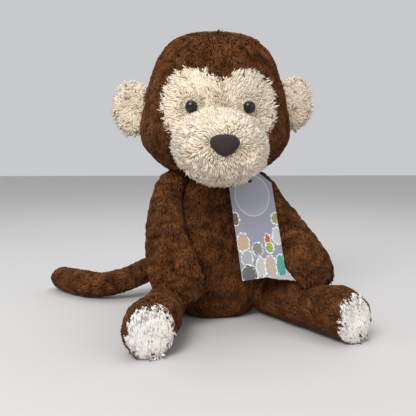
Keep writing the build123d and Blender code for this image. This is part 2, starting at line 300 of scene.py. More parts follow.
@dataclass(frozen=True)
class CardFinish:
    """Printed card: a grey-lilac face with a ring and plain spots, a paler back and a white cut edge."""

    name: str
    top: Vector
    across: Vector
    upward: Vector
    face: Colour = (0.285, 0.295, 0.360)
    back: Colour = (0.62, 0.63, 0.68)
    edge: Colour = (0.85, 0.85, 0.84)
    ink_white: Colour = (0.88, 0.88, 0.88)
    outline: float = 0.9
    oval_down: float = 21.0
    oval_half_width: float = 17.0
    oval_squash: float = 0.84
    oval_line: float = 0.8
    waviness: float = 3.5
    patches: tuple[Patch, ...] = (
        Patch(-20.0, 42.0, 3.5, 6.5, (0.20, 0.10, 0.08)),
        Patch(19.5, 46.0, 4.0, 5.5, (0.42, 0.38, 0.14)),
        Patch(18.5, 63.0, 4.5, 8.0, (0.66, 0.68, 0.72)),
        Patch(-15.8, 65.5, 5.8, 9.5, (0.66, 0.50, 0.30)),
        Patch(8.5, 64.5, 2.8, 5.0, (0.75, 0.12, 0.04)),
        Patch(9.5, 73.0, 4.0, 5.0, (0.38, 0.50, 0.07)),
        Patch(-2.5, 73.0, 5.0, 6.5, (0.33, 0.30, 0.27)),
        Patch(-14.0, 80.0, 5.5, 7.5, (0.50, 0.50, 0.52)),
        Patch(-1.5, 90.0, 4.5, 9.0, (0.70, 0.68, 0.62)),
        Patch(-14.0, 95.5, 7.8, 9.0, (0.16, 0.16, 0.17)),
        Patch(8.0, 90.5, 5.8, 10.5, (0.66, 0.56, 0.42)),
        Patch(18.0, 91.5, 4.8, 11.0, (0.10, 0.45, 0.38)),
    )

    def material(self) -> bpy.types.Material:
        """The card's material. Its pattern lies in the card's own plane, from Object coordinates."""
        material, bench, shader = new_material(self.name)
        place = bench.add("ShaderNodeTexCoord").outputs["Object"]
        from_top = bench.vector("SUBTRACT", place, tuple(self.top * MM))
        spot = bench.add(
            "ShaderNodeCombineXYZ",
            {
                0: bench.sum("MULTIPLY", bench.vector("DOT_PRODUCT", from_top, tuple(self.across)), 1 / MM),
                1: bench.sum("MULTIPLY", bench.vector("DOT_PRODUCT", from_top, tuple(self.upward)), 1 / MM),
            },
        ).outputs[0]
        fibre = bench.clouds(place, 900.0, 3.0)
        colour = bench.ramp(fibre, [(0.3, tuple(c * 0.93 for c in self.face)), (0.7, self.face)])
        from_middle = bench.vector("SUBTRACT", spot, (0.0, -self.oval_down, 0.0))
        oval = bench.vector("MULTIPLY", from_middle, (1.0, self.oval_squash, 1.0))
        distance = bench.vector("LENGTH", oval)
        disc = bench.sum("LESS_THAN", distance, self.oval_half_width)
        colour = bench.mix(bench.sum("MULTIPLY", disc, 0.12), colour, self.ink_white)
        rim = bench.sum("COMPARE", distance, self.oval_half_width, self.oval_line / 2)
        colour = bench.mix(bench.sum("MULTIPLY", rim, 0.45), colour, self.ink_white)
        wave = bench.clouds(spot, 0.45, 1.0, "Color")
        bend = bench.vector("SUBTRACT", wave, (0.5,) * 3)
        wavy = bench.vector("ADD", spot, bench.scaled(bend, self.waviness))
        tuft = bench.sum("MULTIPLY_ADD", bench.clouds(spot, 1.6, 3.0), 1.6, -0.3, clamp=True)
        for patch in self.patches:
            away = bench.vector("SUBTRACT", wavy, (patch.right, -patch.down, 0.0))
            shaded = bench.mix(tuft, tuple(c * 0.45 for c in patch.colour), patch.colour)
            for grow, ink in ((self.outline, self.ink_white), (0.0, shaded)):
                inverse = (1 / (patch.half_width + grow), 1 / (patch.half_height + grow), 1.0)
                off_middle = bench.vector("LENGTH", bench.vector("MULTIPLY", away, inverse))
                inside = bench.sum("LESS_THAN", off_middle, 1.0)
                colour = bench.mix(inside, colour, ink)
        normal = bench.add("ShaderNodeNewGeometry").outputs["Normal"]
        facing = bench.vector("DOT_PRODUCT", normal, tuple(self.across.cross(self.upward)))
        colour = bench.mix(bench.sum("LESS_THAN", facing, 0.5), colour, self.edge)
        colour = bench.mix(bench.sum("LESS_THAN", facing, -0.5), colour, self.back)
        bench.put(shader.inputs["Base Color"], colour)
        bench.put(shader.inputs["Roughness"], bench.sum("MULTIPLY_ADD", fibre, 0.15, 0.5))
        bump = bench.add("ShaderNodeBump", {"Strength": 0.12, "Distance": 0.0001, "Height": fibre})
        bench.put(shader.inputs["Normal"], bump.outputs["Normal"])
        return material


# ---------------------------------------------------------------- shaping


@dataclass(frozen=True)
class Ring:
    """One elliptical section of a stuffed part: its middle, directions and half sizes in millimetres."""

    middle: Vector
    across: Vector
    way: Vector
    half_width: float
    half_depth: float

    def matrix(self) -> Matrix:
        """The transform that puts a unit circle here."""
        way = self.way.normalized()
        across = (self.across - way * self.across.dot(way)).normalized()
        deep = way.cross(across)
        turn = Matrix((across * self.half_width, deep * self.half_depth, way)).transposed()
        return Matrix.Translation(self.middle * MM) @ (turn * MM).to_4x4()


def loft(rings: Sequence[Ring], segments: int = 32) -> bmesh.types.BMesh:
    """A closed body through rings.

    Args:
        rings: The sections in order.
        segments: The number of sides that each ring has.

    Returns:
        The body as a bmesh, with its normals outward.
    """
    body = bmesh.new()
    loops: list[list[bmesh.types.BMEdge]] = []
    for ring in rings:
        matrix = ring.matrix()
        made = bmesh.ops.create_circle(body, cap_ends=False, segments=segments, radius=1.0, matrix=matrix)
        edges = list({edge for vert in made["verts"] for edge in vert.link_edges})
        if loops:
            bmesh.ops.bridge_loops(body, edges=loops[-1] + edges)
        loops.append(edges)
    for edges in (loops[0], loops[-1]):
        cap = bmesh.ops.edgeloop_fill(body, edges=edges)
        bmesh.ops.poke(body, faces=cap["faces"])
    bmesh.ops.recalc_face_normals(body, faces=body.faces)
    return body


def new_piece(name: str, body: bmesh.types.BMesh) -> bpy.types.Object:
    """A smooth-shaded object from a bmesh, which is freed.

    Args:
        name: The object's name.
        body: Its mesh.

    Returns:
        The object, at the origin.
    """
    mesh = bpy.data.meshes.new(name)
    body.to_mesh(mesh)
    body.free()
    mesh.shade_smooth()
    piece = bpy.data.objects.new(name, mesh)
    bpy.context.scene.collection.objects.link(piece)
    return piece


def settle(piece: bpy.types.Object) -> None:
    """Apply all of a piece's modifiers."""
    view = bpy.context.evaluated_depsgraph_get()
    old = piece.data
    made = piece.evaluated_get(view)
    piece.data = bpy.data.meshes.new_from_object(made, preserve_all_data_layers=True, depsgraph=view)
    piece.modifiers.clear()
    name = old.name
    bpy.data.meshes.remove(old)
    piece.data.name = name


def rounded(body: bmesh.types.BMesh, levels: int = 2) -> bmesh.types.BMesh:
    """The body after subdivision-surface smoothing.

    Args:
        body: The coarse body, which is freed.
        levels: How often its faces are divided.

    Returns:
        The smooth body as a new bmesh.
    """
    helper = new_piece("rounding", body)
    smooth = helper.modifiers.new("round", "SUBSURF")
    smooth.levels = smooth.render_levels = levels
    settle(helper)
    smooth_body = bmesh.new()
    smooth_body.from_mesh(helper.data)
    mesh = helper.data
    bpy.data.objects.remove(helper)
    bpy.data.meshes.remove(mesh)
    return smooth_body


def roughen(body: bmesh.types.BMesh, rise: float, wave: float) -> None:
    """Push a body's surface in and out, as loose filling does.

    Args:
        body: The body that is changed.
        rise: The most that a point moves, in millimetres.
        wave: The size of one bump, in millimetres.
    """
    body.normal_update()
    moves = [vert.normal * noise.noise(vert.co / (wave * MM)) * rise * MM for vert in body.verts]
    for vert, move in zip(body.verts, moves):
        vert.co += move


def keep_side(body: bmesh.types.BMesh, point: Vector, normal: Vector) -> None:
    """Cut a body with a plane and keep the part that its normal points to."""
    parts = [*body.verts, *body.edges, *body.faces]
    bmesh.ops.bisect_plane(
        body, geom=parts, dist=1e-6, plane_co=point * MM, plane_no=normal, clear_inner=True
    )


def keep_faces(body: bmesh.types.BMesh, wanted: Callable[[Vector], bool]) -> None:
    """Delete the faces whose middle, in millimetres, isn't wanted."""
    body.faces.ensure_lookup_table()
    unwanted = [face for face in body.faces if not wanted(face.calc_center_median() / MM)]
    bmesh.ops.delete(body, geom=unwanted, context="FACES")


# ---------------------------------------------------------------- pile


@dataclass(frozen=True)
class PileCut:
    """How a pile stands: its locks' length and width in mm, how many to the square mm, and their lie."""

    length: float
    width: float
    density: float
    lean: float
    swirl: float
    whorl: float
    spread: float = 0.3
    stray: float = 0.18
    contrast: float = 0.9
    seed: int = 1


@dataclass(frozen=True)
class Pile:
    """A pile cloth: how it stands and how it looks."""

    cut: PileCut
    material: bpy.types.Material

    def lock(self) -> bpy.types.Object:
        """One lock of pile: a three-sided spike that bends over towards +X.

        Returns:
            A template object, to be deleted after use.
        """
        width, length = self.cut.width * MM / 2, self.cut.length * MM
        body = bmesh.new()
        along = body.verts.layers.float.new("along")
        side = body.verts.layers.float.new("side")
        made = bmesh.ops.create_circle(body, cap_ends=True, segments=3, radius=width)
        for number, vert in enumerate(made["verts"]):
            vert[side] = number - 1.0
        edges = list(body.edges)
        grown = bmesh.ops.extrude_edge_only(body, edges=edges)["geom"]
        ring = [part for part in grown if isinstance(part, bmesh.types.BMVert)]
        bmesh.ops.scale(body, vec=(0.85, 0.85, 1.0), verts=ring)
        bmesh.ops.translate(body, vec=(0.16 * length, 0.0, 0.55 * length), verts=ring)
        for vert in ring:
            vert[along] = 0.55
        edges = [part for part in grown if isinstance(part, bmesh.types.BMEdge)]
        edges = [edge for edge in edges if all(vert in ring for vert in edge.verts)]
        grown = bmesh.ops.extrude_edge_only(body, edges=edges)["geom"]
        tip = [part for part in grown if isinstance(part, bmesh.types.BMVert)]
        bmesh.ops.translate(body, vec=(0.30 * length, 0.0, 0.36 * length), verts=tip)
        middle = sum((vert.co for vert in tip), Vector()) / len(tip)
        bmesh.ops.pointmerge(body, verts=tip, merge_co=middle)
        for vert in body.verts:
            if vert.co.z > 0.9 * length:
                vert[along] = 1.0
                vert[side] = 0.0
        bmesh.ops.recalc_face_normals(body, faces=body.faces)
        template = new_piece("lock", body)
        template.data.materials.append(self.material)
        return template

    def tree(self, lock: bpy.types.Object) -> bpy.types.NodeTree:
        """The node tree that stands locks all over a skin.

        Args:
            lock: The template.

        Returns:
            A geometry node tree for a Nodes modifier.
        """
        cut = self.cut
        tree = bpy.data.node_groups.new("pile", "GeometryNodeTree")
        tree.interface.new_socket("Geometry", in_out="INPUT", socket_type="NodeSocketGeometry")
        tree.interface.new_socket("Geometry", in_out="OUTPUT", socket_type="NodeSocketGeometry")
        bench = NodeBench(tree)
        skin = bench.add("NodeGroupInput").outputs[0]

        def named(name: str, kind: str = "FLOAT") -> bpy.types.NodeSocket:
            """A named attribute's output."""
            found = bench.add("GeometryNodeInputNamedAttribute", {"Name": name}, data_type=kind)
            return found.outputs["Attribute"]

        def store(
            geometry: object, name: str, value: object, domain: str, kind: str = "FLOAT"
        ) -> bpy.types.NodeSocket:
            """Geometry with a named attribute stored on it."""
            return bench.add(
                "GeometryNodeStoreNamedAttribute",
                {"Geometry": geometry, "Name": name, "Value": value},
                domain=domain,
                data_type=kind,
            ).outputs["Geometry"]

        def random(low: float, high: float, seed: int) -> bpy.types.NodeSocket:
            """A random number for each point."""
            limits = {2: low, 3: high, 8: seed}
            return bench.add("FunctionNodeRandomValue", limits, data_type="FLOAT").outputs[1]

        place = bench.add("GeometryNodeInputPosition").outputs[0]

        def clouds(wave: float, output: str = "Fac", detail: float = 2.0) -> bpy.types.NodeSocket:
            """Noise whose bumps are about wave millimetres wide."""
            return bench.clouds(place, 1 / (wave * MM), detail, output)

        share = 1.0
        bare = bench.sum("SUBTRACT", 1.0, named("lining"), clamp=True)
        grows = bench.sum("MULTIPLY", bare, named("cover"))
        density = bench.sum("MULTIPLY", grows, cut.density / MM**2 * share)
        scatter = bench.add(
            "GeometryNodeDistributePointsOnFaces", {"Mesh": skin, "Density": density, "Seed": cut.seed}
        )
        normal = scatter.outputs["Normal"]
        comb = named("comb", "FLOAT_VECTOR")
        eddies = bench.vector("SUBTRACT", clouds(cut.whorl, "Color", 1.0), (0.5,) * 3)
        swirl = bench.scaled(eddies, 4 * cut.swirl)
        limits = {0: (-cut.stray,) * 3, 1: (cut.stray,) * 3, 8: 5}
        stray = bench.add("FunctionNodeRandomValue", limits, data_type="FLOAT_VECTOR").outputs[0]
        lie = bench.vector("ADD", bench.vector("ADD", comb, swirl), stray)
        lie = bench.vector("SUBTRACT", lie, bench.vector("PROJECT", lie, normal))
        lie = bench.vector("NORMALIZE", lie)
        stand = bench.vector("ADD", bench.scaled(normal, 1 - cut.lean), bench.scaled(lie, cut.lean))
        upright = bench.add("FunctionNodeAlignRotationToVector", {"Vector": stand}, axis="Z").outputs[0]
        turned = bench.add(
            "FunctionNodeAlignRotationToVector",
            {"Rotation": upright, "Vector": lie},
            axis="X",
            pivot_axis="Z",
        ).outputs[0]
        reach = bench.sum("MULTIPLY", named("reach"), random(1 - cut.spread, 1 + cut.spread, 2))
        reach = bench.sum("MULTIPLY", reach, bench.sum("MULTIPLY_ADD", clouds(cut.whorl * 0.9), 0.9, 0.55))
        info = bench.add("GeometryNodeObjectInfo", {"Object": lock, "As Instance": True})
        grown = bench.add(
            "GeometryNodeInstanceOnPoints",
            {
                "Points": scatter.outputs["Points"],
                "Instance": info.outputs["Geometry"],
                "Rotation": turned,
                "Scale": reach,
            },
        ).outputs[0]
        patches = bench.sum("SUBTRACT", clouds(cut.whorl * 1.3), 0.5)
        patches = bench.sum("MULTIPLY", patches, 2.0 * cut.contrast)
        chance = bench.sum("MULTIPLY", bench.sum("SUBTRACT", random(0.0, 1.0, 3), 0.5), 0.30 * cut.contrast)
        shade = bench.sum("ADD", bench.sum("ADD", named("tone"), patches), chance)
        shade = bench.sum("MINIMUM", bench.sum("MAXIMUM", shade, 0.03), 0.97)
        grown = store(grown, "shade", shade, "INSTANCE")
        grown = bench.add("GeometryNodeRealizeInstances", {"Geometry": grown}).outputs[0]
        # The backing skin takes the dark colours near the roots: painted shade between the locks.
        backing = store(skin, "along", bench.sum("MULTIPLY_ADD", clouds(3.0), 0.5, 0.15), "POINT")
        backing = store(backing, "shade", bench.sum("MULTIPLY_ADD", clouds(2.0), 0.5, 0.25), "POINT")
        backing = store(backing, "side", 0.0, "POINT")
        both = bench.add("GeometryNodeJoinGeometry")
        for part in (grown, backing):
            tree.links.new(part, both.inputs[0])
        whole = both.outputs[0]
        apart = bench.add("ShaderNodeSeparateXYZ", {0: place}).outputs
        height = bench.sum("MAXIMUM", apart[2], FLOOR_CLEARANCE)
        level = bench.add("ShaderNodeCombineXYZ", {0: apart[0], 1: apart[1], 2: height}).outputs[0]
        whole = bench.add("GeometryNodeSetPosition", {"Geometry": whole, "Position": level}).outputs[0]
        layout = bench.add(
            "ShaderNodeCombineXYZ",
            {0: bench.sum("MULTIPLY_ADD", named("side"), 0.02, named("shade")), 1: named("along")},
        ).outputs[0]
        whole = store(whole, "OFBake", layout, "CORNER", "FLOAT2")
        bench.add("NodeGroupOutput", {0: whole})
        return tree

    def grow(
        self,
        piece: bpy.types.Object,
        comb: Flow,
        reach: Flow | None = None,
        cover: Flow | None = None,
        tone: Flow | None = None,
    ) -> None:
        """Give a skin its thickness and its pile.

        Args:
            piece: The skin, an object at the origin.
            comb: Which way the pile lies, from points in millimetres to directions.
            reach: The share of the full lock length at each point, or None for the full length.
            cover: The share of the full density at each point, or None for the full density.
            tone: The mean lock shade from 0 to 1 at each point, or None for the middle.
        """
        mesh = piece.data
        mesh.materials.clear()
        mesh.materials.append(self.material)
        points = np.zeros(len(mesh.vertices) * 3)
        mesh.vertices.foreach_get("co", points)
        points = points.reshape(-1, 3) / MM
        ways = np.broadcast_to(comb(points), points.shape).astype(np.float32)
        ways = ways / np.maximum(np.linalg.norm(ways, axis=1, keepdims=True), 1e-6)
        mesh.attributes.new("comb", "FLOAT_VECTOR", "POINT").data.foreach_set("vector", ways.ravel())
        # The tone attribute also carries painted shade under the chin and on the ears, and painted light and
        # shade on the arms' crinkles.
        for name, flow, plain in (("reach", reach, 1.0), ("cover", cover, 1.0), ("tone", tone, 0.5)):
            values = np.full(len(points), plain) if flow is None else flow(points)
            mesh.attributes.new(name, "FLOAT", "POINT").data.foreach_set("value", values.astype(np.float32))
        piece.vertex_groups.new(name="lining")
        wall = piece.modifiers.new("wall", "SOLIDIFY")
        wall.thickness = WALL
        wall.offset = -1.0
        wall.shell_vertex_group = "lining"
        template = self.lock()
        nodes = piece.modifiers.new("pile", "NODES")
        nodes.node_group = self.tree(template)
        settle(piece)
        mesh = template.data
        bpy.data.objects.remove(template)
        bpy.data.meshes.remove(mesh)
        piece.vertex_groups.clear()
        for name in ("comb", "reach", "cover", "tone", "side", "lining"):
            attribute = piece.data.attributes.get(name)
            if attribute is not None:
                piece.data.attributes.remove(attribute)
        piece.data.shade_smooth()


def steady(direction: Sequence[float]) -> Flow:
    """A flow that is the same everywhere."""
    return lambda points: np.asarray(direction, float)


def even(value: float) -> Flow:
    """One number for every point."""
    return lambda points: np.full(len(points), value)


def hill(points: np.ndarray, middle_z: float, half_width: float, half_height: float) -> np.ndarray:
    """A smooth hill of height 1 in the middle of the face, from points in millimetres."""
    return np.exp(-((points[:, 0] / half_width) ** 2) - ((points[:, 2] - middle_z) / half_height) ** 2)


def away_from(point: Sequence[float], drop: float = 0.0) -> Flow:
    """A flow straight away from a point, with a downward part."""

    def flow(points: np.ndarray) -> np.ndarray:
        """Directions at the points."""
        ways = points - np.asarray(point, float)
        ways = ways / np.maximum(np.linalg.norm(ways, axis=1, keepdims=True), 1e-6)
        return ways - np.array([0.0, 0.0, drop])

    return flow


# ---------------------------------------------------------------- finishes in use


# Each root colour is darker than its tip: painted shade at the roots of the pile.
BROWN = PileFinish(
    name="brown_pile",
    root=(0.030, 0.0100, 0.0030),
    middle=(0.090, 0.0320, 0.0095),
    tip=(0.165, 0.0660, 0.0230),
    shadow=(0.30, 0.26, 0.22),
    light=(2.0, 1.95, 1.85),
    sheen=0.04,
    sheen_tint=(0.9, 0.6, 0.45),
    gloss=0.06,
)
CREAM = PileFinish(
    name="cream_pile",
    root=(0.68, 0.54, 0.38),
    middle=(0.86, 0.74, 0.57),
    tip=(0.94, 0.86, 0.73),
    shadow=(0.76, 0.70, 0.63),
    light=(1.05, 1.05, 1.06),
    sheen=0.12,
)
SOLE = PileFinish(
    name="sole_pile",
    root=(0.76, 0.69, 0.60),
    middle=(0.90, 0.86, 0.79),
    tip=(0.95, 0.93, 0.89),
    shadow=(0.80, 0.78, 0.76),
    light=(1.04, 1.04, 1.05),
    sheen=0.12,
)


FIBRE = ClothFinish("fibre_fill", (0.93, 0.93, 0.92), (0.78, 0.78, 0.77), 700.0, 0.9, sheen=0.4)
PELLET_BAG = ClothFinish("pellet_bag", (0.80, 0.79, 0.74), (0.66, 0.65, 0.6), 1500.0, 0.5, woven=True)
LABEL_TAPE = ClothFinish("label_tape", (0.90, 0.90, 0.88), (0.80, 0.80, 0.78), 2200.0, 0.4, woven=True)
WASHER = PlasticFinish("washer_plastic", (0.90, 0.90, 0.90), (0.84, 0.84, 0.84), 0.35)
EYE_BLACK = PlasticFinish("eye_plastic", (0.006, 0.006, 0.007), (0.003, 0.003, 0.004), 0.16)
NOSE_SATIN = ClothFinish(
    "nose_satin", (0.036, 0.019, 0.016), (0.018, 0.009, 0.008), 1600.0, 0.7, sheen=0.12
)


class Cloths:
    """The pile cloths that the toy is cut from, made once."""

    def __init__(self) -> None:
        """Make the materials and set how each pile stands."""
        brown, cream, sole = BROWN.material(), CREAM.material(), SOLE.material()
        self.fibre = FIBRE.material()
        self.body = Pile(PileCut(5.6, 2.4, 0.66, 0.55, 0.8, 8.0, spread=0.25, seed=1), brown)
        self.hood = Pile(PileCut(5.6, 2.5, 0.56, 0.55, 0.7, 8.0, spread=0.25, seed=2), brown)
        self.face = Pile(PileCut(7.5, 2.2, 0.85, 0.52, 0.7, 10.0, contrast=0.5, seed=3), cream)
        self.muzzle = Pile(PileCut(8.5, 2.3, 0.85, 0.46, 0.9, 11.0, spread=0.4, contrast=0.6, seed=4), cream)
        self.ear = Pile(PileCut(7.0, 2.3, 0.90, 0.60, 0.7, 8.0, contrast=0.5, seed=5), cream)
        self.sole = Pile(PileCut(6.5, 2.3, 1.10, 0.62, 0.5, 9.0, contrast=0.45, seed=6), sole)


def dress(
    piece: bpy.types.Object, body: str, nodes: Iterable[str], fill: float | None = None
) -> None:
    """Put a piece on the body that it moves with and hide the CAD nodes that it stands for.

    Args:
        piece: The finished piece.
        body: The CAD body that it moves with.
        nodes: The CAD nodes that it stands for.
        fill: How full it is stuffed, or None if it isn't padded; not used.
    """
    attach(piece, body)
    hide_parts(*nodes)
    log.info("%s rides on %s, %d faces", piece.name, body, len(piece.data.polygons))


# ---------------------------------------------------------------- sub-assemblies


@dataclass
class Torso:
    """The pear-shaped torso: a front and a back panel of brown pile."""

    profile: tuple[tuple[float, float, float], ...] = (
        (0.4, 30, 28),
        (1.2, 38, 36),
        (6, 44, 42),
        (18, 50, 47),
        (40, 53, 50),
        (64, 51.5, 48.5),
        (88, 47, 44),
        (108, 43, 40),
        (122, 38.5, 36.5),
        (132, 34, 32),
        (140, 27.5, 26),
        (145.5, 19, 18),
        (147.5, 10, 9),
    )
    fill: float = 0.75

    def build(self) -> bmesh.types.BMesh:
        """The torso's whole skin."""
        rings = [
            Ring(
                Vector((0, 0, max(height, SKIN_INSET))),
                ACROSS,
                UP,
                half_width - SKIN_INSET,
                half_depth - SKIN_INSET,
            )
            for height, half_width, half_depth in self.profile
        ]
        body = rounded(loft(rings, 36))
        roughen(body, 1.1, 20.0)
        roughen(body, 0.8, 8.0)
        return body

    def dress(self, cloths: Cloths) -> None:
        """Cut the two panels, give them their pile and put them on their body."""
        whole = self.build()
        for word, way in (("front", -1), ("back", 1)):
            panel = whole.copy()
            keep_side(panel, Vector((0, 0, 0)), Vector((0, way, 0)))
            piece = new_piece(f"torso_{word}_cover", panel)
            cloths.body.grow(piece, steady(-UP))
            dress(piece, "torso", [f"torso_{word}_panel"], self.fill)
        whole.free()


@dataclass
class Head:
    """The head: two hood panels, a heart-shaped face panel and a full muzzle."""

    profile: tuple[tuple[float, float], ...] = (
        (150, 44),
        (153, 53),
        (161, 64),
        (169, 71.5),
        (177, 77.5),
        (187, 80.7),
        (201, 79.8),
        (217, 77.4),
        (233, 73.7),
        (249, 69.7),
        (265, 64),
        (278, 56.5),
        (286.5, 47),
        (292, 33),
        (294.8, 15),
    )
    depth_ratio: float = 0.75
    middle_y: float = -2.0
    muzzle_profile: tuple[tuple[float, float, float, float], ...] = (
        (-44, 183, 42, 33),
        (-50, 180.5, 44.5, 34),
        (-56, 176.5, 43.5, 33.5),
        (-64, 172, 42.5, 33),
        (-76, 169, 40.5, 32.5),
        (-87, 168.5, 33, 26),
        (-94, 169, 21, 17),
        (-97, 170, 9, 7.5),
    )
    heart: tuple[tuple[float, float], ...] = (
        (0, 236), (12, 243), (30, 247.5), (44, 241), (52, 226.5), (53, 210), (50, 197), (45, 187), (0, 176),
    )
    heart_middle: float = 215.0
    heart_back: float = -8.0
    eye_x: float = 28.0
    eye_z: float = 211.0
    eye_y: float = -58.5
    eye_bare: float = 5.2
    bridge_z: float = 214.0
    muzzle_back: float = -46.0
    nose: tuple[float, float, float] = (0.0, -96.0, 172.0)
    nose_bare: float = 7.0
    fill: float = 0.85

    def build(self) -> bmesh.types.BMesh:
        """The head's whole skin without the muzzle."""
        rings = [
            Ring(
                Vector((0, self.middle_y, height)),
                ACROSS,
                UP,
                half_width - SKIN_INSET,
                half_width * self.depth_ratio - SKIN_INSET,
            )
            for height, half_width in self.profile
        ]
        body = rounded(loft(rings, 48))
        roughen(body, 1.2, 24.0)
        roughen(body, 0.8, 9.0)
        return body

    def in_face(self, point: Vector) -> bool:
        """True where a point in millimetres lies in the heart-shaped face."""
        if point.y > self.heart_back:
            return False
        rise = point.z - self.heart_middle
        angle = math.atan2(abs(point.x), rise)
        angles = [math.atan2(x, z - self.heart_middle) for x, z in self.heart]
        reaches = [math.hypot(x, z - self.heart_middle) for x, z in self.heart]
        return math.hypot(point.x, rise) < np.interp(angle, angles, reaches)

    def eye_distance(self, points: np.ndarray) -> np.ndarray:
        """The distance from each point to the nearer eye."""
        near = np.abs(points[:, 0]) - self.eye_x
        return np.sqrt(near**2 + (points[:, 2] - self.eye_z) ** 2 + (points[:, 1] - self.eye_y) ** 2)

    def face_reach(self, points: np.ndarray) -> np.ndarray:
        """Short pile round the eyes and on the bridge between them, long elsewhere."""
        reach = np.clip((self.eye_distance(points) - 5.0) / 14.0, 0.30, 1.0)
        return reach * (1 - 0.55 * hill(points, self.bridge_z, 11.0, 16.0))

    def face_comb(self, points: np.ndarray) -> np.ndarray:
        """The face pile lies outward from the bridge and away from the eyes."""
        outward = points - np.array([0.0, -60.0, 205.0])
        outward /= np.maximum(np.linalg.norm(outward, axis=1, keepdims=True), 1e-6)
        sides = np.sign(points[:, :1])
        from_eye = points - np.hstack([sides * self.eye_x, sides * 0 + self.eye_y, sides * 0 + self.eye_z])
        from_eye /= np.maximum(np.linalg.norm(from_eye, axis=1, keepdims=True), 1e-6)
        near = np.clip(1.6 - self.eye_distance(points) / 11.0, 0.0, 1.0)[:, None]
        return outward * (1 - near) + from_eye * near * 2.0

    def face_growth(self, points: np.ndarray) -> np.ndarray:
        """No pile where the eyes sit."""
        return (self.eye_distance(points) > self.eye_bare).astype(float)

    def face_tone(self, points: np.ndarray) -> np.ndarray:
        """The pile is darker on the bridge between the eyes."""
        return 0.5 - 0.35 * hill(points, self.bridge_z, 10.0, 15.0)

    def nose_distance(self, points: np.ndarray) -> np.ndarray:
        """The distance from each point to the nose, counted less across it."""
        return np.linalg.norm((points - np.array(self.nose)) * np.array([0.8, 1.0, 1.0]), axis=1)

    def muzzle_reach(self, points: np.ndarray) -> np.ndarray:
        """Short pile round the nose, long elsewhere."""
        return np.clip(self.nose_distance(points) / 22.0, 0.45, 1.0)

    def muzzle_growth(self, points: np.ndarray) -> np.ndarray:
        """No pile under the nose, nor where the muzzle is inside the head."""
        outside = points[:, 1] < self.muzzle_back
        return ((self.nose_distance(points) > self.nose_bare) & outside).astype(float)

    def muzzle_tone(self, points: np.ndarray) -> np.ndarray:
        """The pile is darker under the chin: painted shade."""
        return 0.52 - 0.3 * np.clip((150.0 - points[:, 2]) / 14.0, 0.0, 1.0)

    def dress(self, cloths: Cloths) -> None:
        """Cut the panels, give them their pile and put them on the head."""
        whole = self.build()
        for side in Side:
            panel = whole.copy()
            keep_side(panel, Vector((0, 0, 0)), Vector((side.value, 0, 0)))
            keep_faces(panel, lambda point: not self.in_face(point))
            piece = new_piece(f"head_{side.word}_cover", panel)
            cloths.hood.grow(piece, away_from((0.0, 10.0, 262.0), drop=0.5))
            dress(piece, "head", [f"head_{side.word}_panel"], self.fill)
        keep_faces(whole, self.in_face)
        face = new_piece("face_cover", whole)
        cloths.face.grow(face, self.face_comb, self.face_reach, self.face_growth, self.face_tone)
        dress(face, "head", ["face_panel"], self.fill)
        self.dress_muzzle(cloths)

    def dress_muzzle(self, cloths: Cloths) -> None:
        """The full muzzle, whose pile lies away from the nose."""
        rings = [
            Ring(Vector((0, y, z)), ACROSS, FORWARD, half_width - SKIN_INSET, half_height - SKIN_INSET)
            for y, z, half_width, half_height in self.muzzle_profile
        ]
        body = rounded(loft(rings, 40))
        roughen(body, 1.2, 15.0)
        piece = new_piece("muzzle_cover", body)
        cloths.muzzle.grow(
            piece,
            away_from((0.0, -92.0, 172.0), drop=0.15),
            self.muzzle_reach,
            self.muzzle_growth,
            self.muzzle_tone,
        )
        dress(piece, "head", ["muzzle_panel"], self.fill)


@dataclass
class Neck:
    """The ball between the torso and the head, in the torso's own pile."""

    middle: Vector = field(default_factory=lambda: Vector((0, 0, 141)))
    radius: float = 18.5
    reach: float = 0.55

    def dress(self, cloths: Cloths) -> None:
        """Build the ball, give it its pile and put it on its body."""
        body = bmesh.new()
        bmesh.ops.create_icosphere(body, subdivisions=3, radius=self.radius * MM)
        bmesh.ops.translate(body, vec=self.middle * MM, verts=body.verts)
        piece = new_piece("neck_ball_cover", body)
        cloths.body.grow(piece, steady(-UP), reach=even(self.reach))
        dress(piece, "neck", ["neck_stuffing"], 0.7)


@dataclass
class Ear:
    """One ear: a front and a back layer of cream pile."""

    side: Side
    sections: tuple[tuple[float, float, float], ...] = (
        (7.2, 6, 10),
        (5.5, 12.5, 20),
        (3, 17.5, 25.5),
        (0, 19, 27),
        (-3, 17.5, 25.5),
        (-5, 12.5, 20),
        (-6, 6, 10),
    )
    inset: float = 0.8
    root_x: float = 76.0
    seam_y: float = 8.0
    comb_x: float = 80.0
    comb_z: float = 218.0
    # The ears' pile is darker as painted shade, as if less light reached them.
    tone: float = 0.36

    def build(self) -> bmesh.types.BMesh:
        """The ear's whole skin, a dished lens."""
        middle = Vector((-90, 8, 216.5)) if self.side is Side.RIGHT else Vector((88, 8, 224))
        rings = [
            Ring(
                middle + Vector((0, y, 0)),
                ACROSS,
                FORWARD,
                half_width - self.inset,
                half_height - self.inset,
            )
            for y, half_width, half_height in self.sections
        ]
        body = rounded(loft(rings, 28))
        roughen(body, 0.9, 12.0)
        return body

    def dress(self, cloths: Cloths) -> None:
        """Cut the two layers, give them their pile and put them on their body."""
        sign = self.side.value
        whole = self.build()
        keep_side(whole, ACROSS * sign * self.root_x, ACROSS * sign)
        for word, way in (("front", -1), ("back", 1)):
            layer = whole.copy()
            keep_side(layer, Vector((0, self.seam_y, 0)), Vector((0, way, 0)))
            piece = new_piece(f"{self.side.word}_ear_{word}_cover", layer)
            comb = away_from((sign * self.comb_x, self.seam_y - 10 * way, self.comb_z))
            cloths.ear.grow(piece, comb, tone=even(self.tone))
            dress(piece, f"{self.side.word}_ear", [f"{self.side.word}_ear_{word}"], 0.3)
        whole.free()


